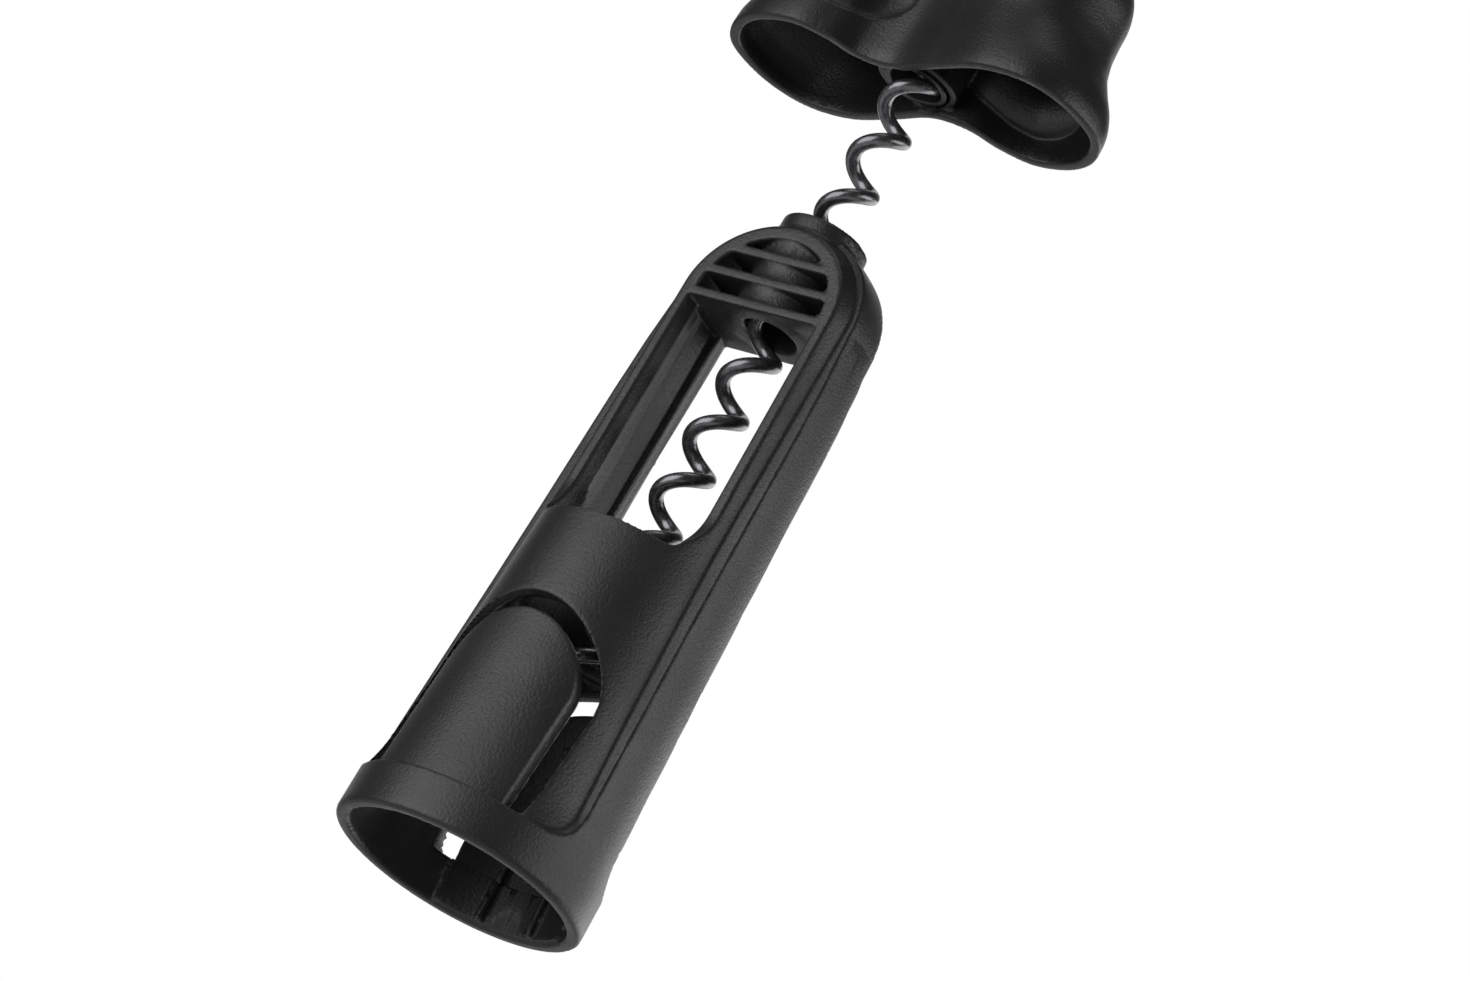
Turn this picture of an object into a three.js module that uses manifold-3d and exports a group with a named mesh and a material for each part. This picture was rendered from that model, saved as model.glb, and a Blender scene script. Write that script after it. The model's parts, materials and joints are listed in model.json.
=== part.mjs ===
// Self-pulling table corkscrew: a bell-footed frame with two squeezable grip
// tongues, and a worm that hangs from a two-lobed turning handle.
// Millimetres, +Z up along the worm's axis, front window towards -Y.

import * as THREE from 'three';
import { mergeVertices } from 'three/addons/utils/BufferGeometryUtils.js';
import Module from 'manifold-3d';

const wasm = await Module();
wasm.setup();

// ---------------------------------------------------------------- sizes

const SLIP_GAP = 0.3; // clearance between separate pieces that seat on each other
const WALL = 2; // moulded wall of the panels

// bell foot
const BELL_R = 21;
const MOUTH_R = 18.75;
const BAND_TOP = 7.5;
const LIP_ROUND = 0.5;

// frame shaft: the side straps stand proud of the front and back panels
const SHAFT_TOP = 103; // centre height of the domed head
const STRAP_TOP_R = 17;
const PANEL_TOP_R = 15.8;
const PANEL_FOOT_FILLET = [0.7, 1.6]; // how far the panel's foot spreads, out and up
const STRAP_PROUD_R = 0.05; // the band stands this far proud of the strap's foot
const STRAP_FOOT_HALF = 6.5; // half width of a strap at its foot
const STRAP_HEAD_HALF = 4.9;
const STRAP_FOOT_Z = 14; // where the foot fillet starts
const STRAP_FOOT_FLARE = 7.2; // how far that fillet spreads along the band
const CROWN_RISE = 16.35; // height of the strap's arch over the head
const FLAT_Y = 7.85; // depth of the flat front and back faces
const FLAT_BLEND = 9; // height over which the round panels turn into flat faces
const FLAT_BEND = [0.4, 2]; // how the side view bends there: depth and height of the pull

// [radius, height] stations between foot and head
const STRAP_STATIONS = [
  [20.75, STRAP_FOOT_Z], [20.2, 27], [19.5, 43], [18.9, 60], [18.2, 84], [17.8, 93],
];
const PANEL_STATIONS = [[18.3, 27], [17.4, 43], [16.4, 59], [15.95, 70]];
const PANEL_FOOT_R = 19.5;

// window between the legs
const WINDOW_BOTTOM = 57.3;
const WINDOW_TOP = 101.3;
const WINDOW_HALF_FOOT = 12.6;
const WINDOW_HALF_HEAD = 12.15;
const WINDOW_CORNER_R = 1.8;
const CHANNEL_HALF = 4.2; // channel up the inside of each leg
const CHANNEL_FOOT_REACH = 16.5; // how far from the axis it cuts, below and above
const CHANNEL_HEAD_REACH = 15.5;
const CHANNEL_BOTTOM = 62.5;

// ribbed head
const RIB = 1.6;
const SLOT = 2.87;
const POCKET_R = 11.6;
const TUBE_R = 7.4;
const COLLAR_RISE = 0.85; // collar above the crown of the strap
const BORE_R = 4.6;

// grip tongues
const TONGUE_HALF = 11.95;
const TONGUE_ARCH_Z = 26.6;
const TONGUE_SLOT = 2.7;
const TONGUE_TOP_SLOT = 3;
const TONGUE_RIB = 1;
const TONGUE_RIB_DEPTH = 0.9;
const TONGUE_RIB_ANGLE = 16;
const TONGUE_RIB_TOP = 31;
const PAD_BOTTOM = 0.6;
const PAD_DEPTH = 0.7;

// shoulder inside the frame that rests on the bottle's lip and lets the cork through
const SHOULDER_Z = 42.4;
const SHOULDER_THICK = 2;
const CORK_R = 12;
const CORK_PLAY = 0.7;

// worm
const WIRE_R = 1.2;
const WORM_R = 4.23; // outer radius of the coil
const WORM_PITCH = 10.98;
const WORM_TIP_Z = 33;
const WORM_PHASE = 36.3; // degrees from +X at the reference height below
const WORM_PHASE_Z = 141.32;
const WORM_TAPER_TURNS = 0.6;
const WORM_SIDES = 8;
const WORM_STEPS = 15; // per turn

// handle
const LIFT = 29.1; // how far the handle is drawn up from its seat on the collar
const HANDLE_WALL = 1.8;
const HANDLE_HEIGHT = 29.4;
const HANDLE_ROOF = 2.8;
const HANDLE_NECK_SHRINK = 0.19; // how much the lobes draw in above the rim
const HANDLE_LOBE_R = 34.8; // reach of each lobe from the axis
const HANDLE_WAIST_R = 7;
const BOSS_R = 6.75;
const BOSS_BOTTOM = 2.6;
const SLIP_RING_WALL = 1;
const SLIP_RING_HEIGHT = 4;
const SLIP_RING_PROUD = 0.4; // how far it stands out of the boss
const DISH_DEPTH = 3.2; // thumb dish sunk into each lobe
const DISH_HALF_LENGTH = 12.1;
const DISH_HALF_HEIGHT = 7.75;
const DISH_X = 15; // its middle, from the axis and above the rim
const DISH_HEIGHT = 13.1;
const DISH_STEEPNESS = 5; // 2 gives a bowl, more a flatter bed with steeper sides
const COIL_RUN_IN = 1; // how far the coil goes on above the slip ring
const ANCHOR_HEIGHT = 11;
const ANCHOR_DEPTH = 8; // how far the shank goes into it

// half of the handle's outline in shares of a lobe's reach; the other half is the same
// turned by 180 degrees
const HANDLE_OUTLINE = [
  [1, 0.043], [0.902, 0.247], [0.724, 0.376], [0.506, 0.414], [0.336, 0.342],
  [0.21, 0.236], [0.034, 0.204], [-0.23, 0.302], [-0.523, 0.394], [-0.77, 0.365],
  [-0.937, 0.207],
];

const ROUND = 64; // facets round the frame
const SMALL_ROUND = 36;

// ---------------------------------------------------------------- sizes that follow

const FRAME_TOP = SHAFT_TOP + CROWN_RISE + COLLAR_RISE;
const HANDLE_Z = FRAME_TOP + SLIP_GAP + LIFT;
const WORM_COIL_R = WORM_R - WIRE_R;
const SLIP_RING_BORE = WORM_R + SLIP_GAP;
const SLIP_RING_R = SLIP_RING_BORE + SLIP_RING_WALL;
const BOSS_BORE = SLIP_RING_R + SLIP_GAP;
const SLIP_RING_BOTTOM = BOSS_BOTTOM - SLIP_RING_PROUD;
const COIL_TOP = SLIP_RING_BOTTOM + SLIP_RING_HEIGHT + COIL_RUN_IN;
const ANCHOR_BOTTOM = COIL_TOP + WORM_PITCH / 2 + 1;
const SLOT_3 = WINDOW_TOP + RIB; // the head's slots, counted from the crown down
const SLOT_2 = SLOT_3 + SLOT + RIB;
const CUT_MARGIN = 5; // how far a cutting shape runs on past what it cuts
const BEYOND = BELL_R + CUT_MARGIN; // clears the whole frame

// ---------------------------------------------------------------- tools

// A closed three.js geometry as a manifold solid, whichever way its faces point.
function solid(geometry) {
  const bare = geometry.clone();
  bare.deleteAttribute('normal');
  bare.deleteAttribute('uv');
  const merged = mergeVertices(bare, 1e-4);
  const points = merged.getAttribute('position').array;
  const index = Array.from(merged.index.array);
  const faces = [];
  for (let i = 0; i < index.length; i += 3) {
    const [a, b, c] = index.slice(i, i + 3);
    if (a !== b && b !== c && a !== c) faces.push([a, b, c]);
  }
  const corner = (i) => new THREE.Vector3().fromArray(points, 3 * i);
  let volume = 0;
  for (const [a, b, c] of faces) {
    volume += corner(a).dot(corner(b).cross(corner(c)));
  }
  const outward = volume > 0 ? faces : faces.map(([a, b, c]) => [a, c, b]);
  return new wasm.Manifold(new wasm.Mesh({
    numProp: 3,
    vertProperties: new Float32Array(points),
    triVerts: new Uint32Array(outward.flat()),
  }));
}

function geometryOf(body) {
  const mesh = body.getMesh();
  const geometry = new THREE.BufferGeometry();
  geometry.setAttribute('position', new THREE.BufferAttribute(mesh.vertProperties, 3));
  geometry.setIndex(new THREE.BufferAttribute(mesh.triVerts, 1));
  return geometry;
}

// A profile of [radius, height] turned about the Z axis.
function revolve(profile, facets = ROUND) {
  const points = profile.map(([r, z]) => new THREE.Vector2(r, z));
  return solid(new THREE.LatheGeometry(points, facets).rotateX(Math.PI / 2));
}

function disc(radius, low, high, facets = SMALL_ROUND) {
  return revolve([[0, low], [radius, low], [radius, high], [0, high]], facets);
}

function box(low, high) {
  const size = high.map((value, i) => value - low[i]);
  const middle = high.map((value, i) => (value + low[i]) / 2);
  return solid(new THREE.BoxGeometry(...size).translate(...middle));
}

// A shape drawn as (x, z), carried along Y between two depths.
function alongY(shape, low, high, curveSegments = 24) {
  const geometry = new THREE.ExtrudeGeometry(shape, {
    depth: high - low,
    bevelEnabled: false,
    curveSegments,
  });
  return solid(geometry.rotateX(Math.PI / 2).translate(0, high, 0));
}

// A shape drawn as (y, z), carried along X to both sides.
function alongX(shape, half, curveSegments = 16) {
  const geometry = new THREE.ExtrudeGeometry(shape, {
    depth: 2 * half,
    bevelEnabled: false,
    curveSegments,
  });
  return solid(geometry.rotateX(Math.PI / 2).rotateZ(Math.PI / 2).translate(-half, 0, 0));
}

// A closed skin over a stack of rings with equally many points each.
function loft(rings) {
  const count = rings[0].length;
  const vertices = rings.flat();
  const index = [];
  for (let k = 0; k + 1 < rings.length; k += 1) {
    for (let i = 0; i < count; i += 1) {
      const a = k * count + i;
      const b = k * count + ((i + 1) % count);
      index.push(a, b, b + count, a, b + count, a + count);
    }
  }
  for (const [k, flip] of [[0, true], [rings.length - 1, false]]) {
    const middle = new THREE.Vector3();
    for (const point of rings[k]) middle.add(point);
    vertices.push(middle.divideScalar(count));
    const centre = vertices.length - 1;
    for (let i = 0; i < count; i += 1) {
      const a = k * count + i;
      const b = k * count + ((i + 1) % count);
      index.push(centre, flip ? b : a, flip ? a : b);
    }
  }
  const geometry = new THREE.BufferGeometry().setFromPoints(vertices);
  geometry.setIndex(index);
  return solid(geometry);
}

// The body together with its copy on the opposite side of the axis.
const andOpposite = (body) => body.add(body.rotate([0, 0, 180]));
const radians = THREE.MathUtils.degToRad;

// ---------------------------------------------------------------- frame

// The two skins of the shaft as [radius, height] profiles.
const STRAP_LINE = [
  [BELL_R, LIP_ROUND],
  [BELL_R - STRAP_PROUD_R, BAND_TOP],
  ...STRAP_STATIONS,
  [STRAP_TOP_R, SHAFT_TOP],
];
const PANEL_LINE = [
  [PANEL_FOOT_R + PANEL_FOOT_FILLET[0], BAND_TOP],
  [PANEL_FOOT_R, BAND_TOP + PANEL_FOOT_FILLET[1]],
  ...PANEL_STATIONS,
  [PANEL_TOP_R, SHAFT_TOP],
];

// Radius at a height on one of the lines above.
function radiusOn(line, z) {
  for (let i = 0; i + 1 < line.length; i += 1) {
    const [r0, z0] = line[i];
    const [r1, z1] = line[i + 1];
    if (z <= z1) return THREE.MathUtils.lerp(r0, r1, (z - z0) / (z1 - z0));
  }
  return line.at(-1)[0];
}

// The quarter circle that domes the head over.
function dome(radius, steps = 8) {
  const points = [];
  for (let i = 1; i <= steps; i += 1) {
    const angle = (i / steps) * Math.PI / 2;
    const r = i === steps ? 0 : radius * Math.cos(angle);
    points.push([r, SHAFT_TOP + radius * Math.sin(angle)]);
  }
  return points;
}

function strapSkin() {
  const foot = [[0, 0], [BELL_R - LIP_ROUND, 0]];
  return revolve([...foot, ...STRAP_LINE, ...dome(STRAP_TOP_R)]);
}

function panelSkin() {
  const foot = [[0, BAND_TOP], [PANEL_LINE[0][0], BAND_TOP]];
  return revolve([...foot, ...PANEL_LINE.slice(1), ...dome(PANEL_TOP_R)]);
}

// Side view of what the straps and the bell band take up, with the foot fillets.
function strapRegion() {
  const high = FRAME_TOP + 1;
  const flare = STRAP_FOOT_HALF + STRAP_FOOT_FLARE;
  const shape = new THREE.Shape();
  shape.moveTo(-BEYOND, -1);
  shape.lineTo(BEYOND, -1);
  shape.lineTo(BEYOND, BAND_TOP);
  shape.lineTo(flare, BAND_TOP);
  shape.quadraticCurveTo(STRAP_FOOT_HALF, BAND_TOP, STRAP_FOOT_HALF, STRAP_FOOT_Z);
  shape.lineTo(STRAP_HEAD_HALF, SHAFT_TOP);
  shape.lineTo(STRAP_HEAD_HALF, high);
  shape.lineTo(-STRAP_HEAD_HALF, high);
  shape.lineTo(-STRAP_HEAD_HALF, SHAFT_TOP);
  shape.lineTo(-STRAP_FOOT_HALF, STRAP_FOOT_Z);
  shape.quadraticCurveTo(-STRAP_FOOT_HALF, BAND_TOP, -flare, BAND_TOP);
  shape.lineTo(-BEYOND, BAND_TOP);
  return alongX(shape, BEYOND, 12);
}

// Side view of the panels: round below the window, flat front and back above it.
function flatRegion() {
  const low = WINDOW_BOTTOM - 0.1;
  const high = FRAME_TOP + 1;
  const shoulder = WINDOW_BOTTOM + FLAT_BLEND;
  const [[round]] = PANEL_STATIONS.slice(2);
  const knee = [(FLAT_Y + round) / 2, low];
  const bend = [FLAT_Y + FLAT_BEND[0], WINDOW_BOTTOM + FLAT_BEND[1]];
  const shape = new THREE.Shape();
  shape.moveTo(-BEYOND, -1);
  shape.lineTo(BEYOND, -1);
  shape.lineTo(BEYOND, low);
  shape.lineTo(...knee);
  shape.quadraticCurveTo(...bend, FLAT_Y, shoulder);
  shape.lineTo(FLAT_Y, high);
  shape.lineTo(-FLAT_Y, high);
  shape.lineTo(-FLAT_Y, shoulder);
  shape.quadraticCurveTo(-bend[0], bend[1], -knee[0], knee[1]);
  shape.lineTo(-BEYOND, low);
  return alongX(shape, BEYOND, 10);
}

// Front view of the head: the strap runs level from front to back over the crown.
function crownRegion() {
  const shape = new THREE.Shape();
  shape.moveTo(-BEYOND, -1);
  shape.lineTo(BEYOND, -1);
  shape.lineTo(BEYOND, SHAFT_TOP);
  shape.lineTo(STRAP_TOP_R, SHAFT_TOP);
  shape.absellipse(0, SHAFT_TOP, STRAP_TOP_R, CROWN_RISE, 0, Math.PI, false);
  shape.lineTo(-BEYOND, SHAFT_TOP);
  return alongY(shape, -BEYOND, BEYOND, 36);
}

function windowShape() {
  const r = WINDOW_CORNER_R;
  const foot = WINDOW_HALF_FOOT;
  const head = WINDOW_HALF_HEAD;
  const shape = new THREE.Shape();
  shape.moveTo(-foot + r, WINDOW_BOTTOM);
  shape.lineTo(foot - r, WINDOW_BOTTOM);
  shape.quadraticCurveTo(foot, WINDOW_BOTTOM, foot, WINDOW_BOTTOM + r);
  shape.lineTo(head, WINDOW_TOP);
  shape.lineTo(-head, WINDOW_TOP);
  shape.lineTo(-foot, WINDOW_BOTTOM + r);
  shape.quadraticCurveTo(-foot, WINDOW_BOTTOM, -foot + r, WINDOW_BOTTOM);
  return shape;
}

// A door shape: straight sides from a level foot, closed by a round arch.
function archShape(half, foot, archZ) {
  const shape = new THREE.Shape();
  shape.moveTo(-half, foot);
  shape.lineTo(half, foot);
  shape.lineTo(half, archZ);
  shape.absarc(0, archZ, half, 0, Math.PI, false);
  return shape;
}

// The three level slots that leave the ribs of the head.
function headPockets() {
  const deep = BELL_R;
  const arch = alongY(archShape(POCKET_R, SLOT_3, SHAFT_TOP), -deep, deep, 32);
  const ribs = [SLOT_3 + SLOT, SLOT_2 + SLOT].map((z) => (
    box([-deep, -deep, z], [deep, deep, z + RIB])));
  const tube = disc(TUBE_R, WINDOW_TOP, FRAME_TOP, 48);
  return ribs.reduce((pockets, rib) => pockets.subtract(rib), arch).subtract(tube);
}

// Radius of the hollow at a height, a wall's thickness inside the panels.
const innerRadius = (z) => radiusOn(PANEL_LINE, z) - WALL;

// Channel that keeps the wall of the right leg even, seen from the front.
function legChannel() {
  const shape = new THREE.Shape();
  shape.moveTo(0, CHANNEL_BOTTOM);
  shape.lineTo(CHANNEL_FOOT_REACH, CHANNEL_BOTTOM);
  shape.lineTo(CHANNEL_HEAD_REACH, WINDOW_TOP);
  shape.lineTo(0, WINDOW_TOP);
  return alongY(shape, -CHANNEL_HALF, CHANNEL_HALF);
}

// Hollow inside: mouth, neck socket, shoulder with the cork's way through, leg channels.
function shaftHollow() {
  const foot = BAND_TOP + PANEL_FOOT_FILLET[1];
  const shoulderTop = SHOULDER_Z + SHOULDER_THICK;
  const hole = CORK_R + CORK_PLAY;
  const stations = PANEL_STATIONS.filter(([, z]) => z > foot && z < SHOULDER_Z);
  const top = WINDOW_BOTTOM + 1;
  const profile = [
    [0, -1],
    [MOUTH_R, -1],
    [MOUTH_R - 0.1, 2],
    ...[foot, ...stations.map(([, z]) => z), SHOULDER_Z].map((z) => [innerRadius(z), z]),
    [hole, SHOULDER_Z],
    [hole, shoulderTop],
    [innerRadius(shoulderTop), shoulderTop],
    [innerRadius(top), top],
    [0, top],
  ];
  return revolve(profile).add(andOpposite(legChannel()));
}

// Inner pad under each tongue, with the two ribs that run on up the tongue.
function bandPads() {
  const ring = revolve([
    [MOUTH_R - PAD_DEPTH, PAD_BOTTOM], [MOUTH_R + 0.5, PAD_BOTTOM],
    [MOUTH_R + 0.5, BAND_TOP], [MOUTH_R - PAD_DEPTH - 0.6, BAND_TOP],
    [MOUTH_R - PAD_DEPTH, PAD_BOTTOM],
  ]);
  const door = alongY(archShape(TONGUE_HALF, 0, TONGUE_ARCH_Z), -BELL_R, 0);
  return ring.intersect(door).add(tongueRibs(PAD_BOTTOM, BAND_TOP, MOUTH_R, PAD_DEPTH));
}

// Two upright ribs behind the front tongue, reaching in from a given radius.
function tongueRibs(low, high, radius, extra = 0) {
  const depth = TONGUE_RIB_DEPTH + extra;
  const rib = box(
    [-TONGUE_RIB / 2, -radius - 0.2, low],
    [TONGUE_RIB / 2, -radius + depth, high],
  );
  return rib.rotate([0, 0, TONGUE_RIB_ANGLE]).add(rib.rotate([0, 0, -TONGUE_RIB_ANGLE]));
}

function frameBody() {
  const slotHalf = TONGUE_HALF + TONGUE_SLOT;
  const slotArch = TONGUE_ARCH_Z + TONGUE_TOP_SLOT - TONGUE_SLOT;
  const outside = strapSkin()
    .intersect(crownRegion())
    .intersect(strapRegion().add(panelSkin().intersect(flatRegion())));
  const window = alongY(windowShape(), -BEYOND, BEYOND, 8);
  const slots = andOpposite(alongY(archShape(slotHalf, BAND_TOP, slotArch), -BEYOND, -CUT_MARGIN));
  const collar = disc(TUBE_R, WINDOW_TOP, FRAME_TOP, 48);
  const bore = disc(BORE_R, WINDOW_TOP - 1, FRAME_TOP + 1);
  return outside
    .subtract(shaftHollow())
    .subtract(window)
    .subtract(headPockets())
    .add(collar)
    .subtract(bore)
    .subtract(slots)
    .add(andOpposite(bandPads()));
}

// ---------------------------------------------------------------- grip tongues

function tongueBody() {
  const foot = BAND_TOP + SLIP_GAP;
  const top = TONGUE_ARCH_Z + TONGUE_HALF + 1;
  const stations = PANEL_STATIONS.filter(([, z]) => z > foot && z < top);
  const heights = [foot, BAND_TOP + PANEL_FOOT_FILLET[1], ...stations.map(([, z]) => z), top];
  const outside = heights.map((z) => [radiusOn(PANEL_LINE, z), z]);
  const inside = heights.map((z) => [innerRadius(z), z]).reverse();
  const shell = revolve([...outside, ...inside, outside[0]]);
  const door = alongY(archShape(TONGUE_HALF, foot - 1, TONGUE_ARCH_Z), -BELL_R, -CUT_MARGIN);
  const ribs = tongueRibs(foot, TONGUE_RIB_TOP, innerRadius(TONGUE_RIB_TOP) + 0.6);
  const reach = disc(innerRadius(foot) + 0.4, foot, TONGUE_RIB_TOP + 1);
  return shell.intersect(door).add(ribs.intersect(reach));
}

// ---------------------------------------------------------------- worm

// Centre line of the wire: coil, a half turn that swings in to the axis, and a shank.
function wormPath() {
  const coilEnd = HANDLE_Z + COIL_TOP;
  const swing = WORM_PITCH / 2;
  const shankTop = HANDLE_Z + ANCHOR_BOTTOM + ANCHOR_DEPTH;
  const step = WORM_PITCH / WORM_STEPS;
  const points = [];
  for (let z = WORM_TIP_Z; z < coilEnd + swing; z += step) {
    const angle = radians(WORM_PHASE) + (z - WORM_PHASE_Z) / WORM_PITCH * 2 * Math.PI;
    const inward = THREE.MathUtils.smoothstep(z, coilEnd, coilEnd + swing);
    const radius = WORM_COIL_R * (1 - inward);
    points.push(new THREE.Vector3(radius * Math.cos(angle), radius * Math.sin(angle), z));
  }
  points.push(new THREE.Vector3(0, 0, coilEnd + swing + step));
  points.push(new THREE.Vector3(0, 0, shankTop));
  return points;
}

function wormBody() {
  const path = wormPath();
  const taper = WORM_TAPER_TURNS * WORM_STEPS;
  let side = new THREE.Vector3(0, 0, 1);
  const rings = path.map((point, i) => {
    const ahead = path[Math.min(i + 1, path.length - 1)];
    const behind = path[Math.max(i - 1, 0)];
    const along = ahead.clone().sub(behind).normalize();
    side = side.clone().addScaledVector(along, -side.dot(along)).normalize();
    const across = new THREE.Vector3().crossVectors(along, side);
    const radius = WIRE_R * Math.min(1, Math.max(0.12, Math.sqrt(i / taper)));
    return Array.from({ length: WORM_SIDES }, (_, k) => {
      const angle = (k / WORM_SIDES) * 2 * Math.PI;
      return point.clone()
        .addScaledVector(side, radius * Math.cos(angle))
        .addScaledVector(across, radius * Math.sin(angle));
    });
  });
  return loft(rings);
}

function wormAnchorBody() {
  const low = HANDLE_Z + ANCHOR_BOTTOM;
  const hole = disc(WIRE_R + SLIP_GAP, low - 1, low + ANCHOR_DEPTH + SLIP_GAP, 16);
  return disc(BOSS_BORE - SLIP_GAP, low, low + ANCHOR_HEIGHT).subtract(hole);
}

// ---------------------------------------------------------------- handle

function handleOutline(count = 60) {
  const turned = HANDLE_OUTLINE.map(([x, y]) => [-x, -y]);
  const points = [...HANDLE_OUTLINE, ...turned].map(([x, y]) => (
    new THREE.Vector3(x * HANDLE_LOBE_R, y * HANDLE_LOBE_R, 0)));
  const curve = new THREE.CatmullRomCurve3(points, true, 'centripetal');
  return curve.getSpacedPoints(count).slice(0, count);
}

// The outline moved inwards by a wall thickness.
function insetOutline(outline, wall) {
  const count = outline.length;
  return outline.map((point, i) => {
    const along = outline[(i + 1) % count].clone().sub(outline[(i + count - 1) % count]);
    const inward = new THREE.Vector3(-along.y, along.x, 0).normalize();
    return point.clone().addScaledVector(inward, wall);
  });
}

// Levels of the handle's skin: share of its height, share of the neck shrink, scale.
const HANDLE_LEVELS = [
  [0, 0, 0.99], [0.024, 0, 1], [0.104, 0.02, 1], [0.16, 0.1, 1], [0.178, 0.13, 1],
  [0.195, 0.17, 1], [0.213, 0.21, 1], [0.25, 0.31, 1], [0.313, 0.5, 1], [0.434, 0.8, 1],
  [0.573, 0.96, 1], [0.65, 1, 1], [0.68, 1, 1], [0.7, 1, 1], [0.72, 1, 1],
  [0.819, 1, 1], [0.889, 1, 0.975], [0.944, 1, 0.92], [0.983, 1, 0.82], [1, 1, 0.66],
];

// How deep a thumb dish is at a place of the skin; a wall's margin makes it wider.
function dishDepth(point, height, margin) {
  const along = (Math.abs(point.x) - DISH_X) / (DISH_HALF_LENGTH + margin);
  const up = (height - DISH_HEIGHT) / (DISH_HALF_HEIGHT + margin);
  const away = Math.hypot(along, up);
  const dished = point.x * point.y > 0 && away < 1;
  return dished ? DISH_DEPTH * (1 - away ** DISH_STEEPNESS) : 0;
}

// A level of the handle: the outline sunk in by the dishes, drawn in and scaled.
function ringAt(outline, height, shrink, scale, margin = 0) {
  const count = outline.length;
  return outline.map((point, i) => {
    const along = outline[(i + 1) % count].clone().sub(outline[(i + count - 1) % count]);
    const inward = new THREE.Vector3(-along.y, along.x, 0).normalize();
    const sunk = point.clone().addScaledVector(inward, dishDepth(point, height, margin));
    const reach = Math.hypot(sunk.x, sunk.y);
    const lobe = THREE.MathUtils.clamp(
      (reach - HANDLE_WAIST_R) / (HANDLE_LOBE_R - HANDLE_WAIST_R), 0, 1);
    const factor = (1 - HANDLE_NECK_SHRINK * shrink * lobe) * scale;
    return new THREE.Vector3(sunk.x * factor, sunk.y * factor, HANDLE_Z + height);
  });
}

function handleBody() {
  const outline = handleOutline();
  const skin = loft(HANDLE_LEVELS.map(([share, shrink, scale]) => (
    ringAt(outline, share * HANDLE_HEIGHT, shrink, scale))));
  const inner = insetOutline(outline, HANDLE_WALL);
  const top = HANDLE_HEIGHT - HANDLE_ROOF;
  const cavityLevels = HANDLE_LEVELS
    .map(([share, shrink]) => [share * HANDLE_HEIGHT, shrink, 1])
    .filter(([height]) => height > 1 && height < top - 2);
  const cavity = loft([
    ringAt(inner, -1, 0, 1),
    ...cavityLevels.map((level) => ringAt(inner, ...level, HANDLE_WALL)),
    ringAt(inner, top - 1.5, 1, 0.97),
    ringAt(inner, top, 1, 0.88),
  ]);
  const boss = disc(BOSS_R, HANDLE_Z + BOSS_BOTTOM, HANDLE_Z + HANDLE_HEIGHT);
  const bore = disc(BOSS_BORE, HANDLE_Z - 1, HANDLE_Z + ANCHOR_BOTTOM + ANCHOR_HEIGHT + SLIP_GAP);
  return skin.subtract(cavity.subtract(boss)).subtract(bore);
}

function slipRingBody() {
  const low = HANDLE_Z + SLIP_RING_BOTTOM;
  const high = low + SLIP_RING_HEIGHT;
  return disc(SLIP_RING_R, low, high).subtract(disc(SLIP_RING_BORE, low - 1, high + 1));
}

// ---------------------------------------------------------------- assembly

const satinBlack = { color: 0x3b3b3d, roughness: 0.5, metalness: 0 };
const coatedBlack = { color: 0x1c1c1e, roughness: 0.25, metalness: 0.2 };
const slipPlastic = { color: 0x2c2c2e, roughness: 0.4, metalness: 0 };
const zincAlloy = { color: 0x8d8f92, roughness: 0.45, metalness: 1 };

function piece(name, body, finish) {
  const mesh = new THREE.Mesh(geometryOf(body), new THREE.MeshStandardMaterial(finish));
  mesh.name = name;
  return mesh;
}

const corkscrew = new THREE.Group();
corkscrew.add(piece('frame', frameBody(), satinBlack));

const frontTongue = piece('front_grip_tongue', tongueBody(), satinBlack);
const backTongue = piece('back_grip_tongue', tongueBody(), satinBlack);
backTongue.rotation.z = Math.PI;
corkscrew.add(frontTongue, backTongue);

const liftingParts = new THREE.Group();
liftingParts.add(piece('slip_ring', slipRingBody(), slipPlastic));
liftingParts.add(piece('handle_shell', handleBody(), satinBlack));
liftingParts.add(piece('worm', wormBody(), coatedBlack));
liftingParts.add(piece('worm_anchor', wormAnchorBody(), zincAlloy));
corkscrew.add(liftingParts);

export default corkscrew;
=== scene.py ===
# %% [markdown]
# # A self-pulling table corkscrew in moulded plastic
#
# The corkscrew is a slim black plastic frame that stands over the neck of a bottle,
# with one long coated worm hanging from a two-lobed handle. This lesson builds its
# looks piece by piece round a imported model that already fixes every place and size.

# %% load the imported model
import json
import math

import bpy
import numpy as np
from mathutils import Matrix, Vector

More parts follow.
